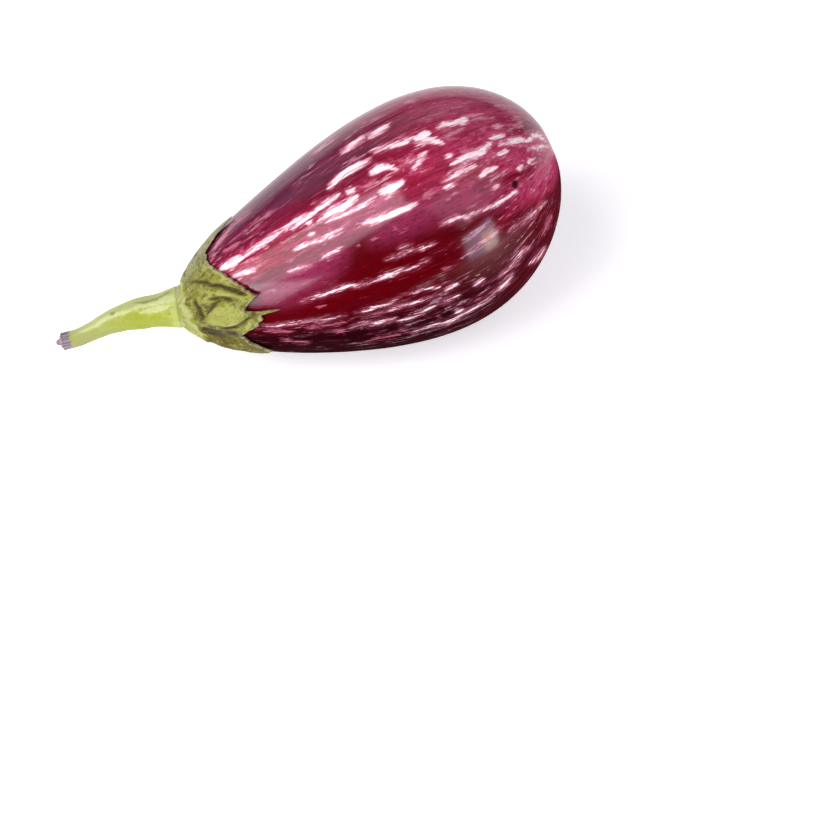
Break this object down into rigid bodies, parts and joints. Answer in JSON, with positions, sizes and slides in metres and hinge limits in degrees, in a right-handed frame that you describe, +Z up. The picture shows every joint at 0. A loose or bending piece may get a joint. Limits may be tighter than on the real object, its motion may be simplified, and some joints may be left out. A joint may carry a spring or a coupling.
{
  "type": "eggplant",
  "caption": "Pear-shaped striped purple eggplant as picked, lying on its side, with a green pointed calyx capping its narrow end and a curved stem.",
  "frame": {"origin": "middle of the small flat spot that the fruit's flank rests on", "axes": "+X along the fruit as it lies, from its stem towards its blossom end; +Z up; the flank bows out to -Y"},
  "size_m": [0.1651, 0.0743, 0.0752],
  "materials": {
    "skin": "gloss",
    "calyx": "matte",
    "stem": "satin"
  },
  "bodies": {
    "root": {"fruit": "skin", "calyx": "calyx", "stem": "stem"}
  },
  "joints": []
}
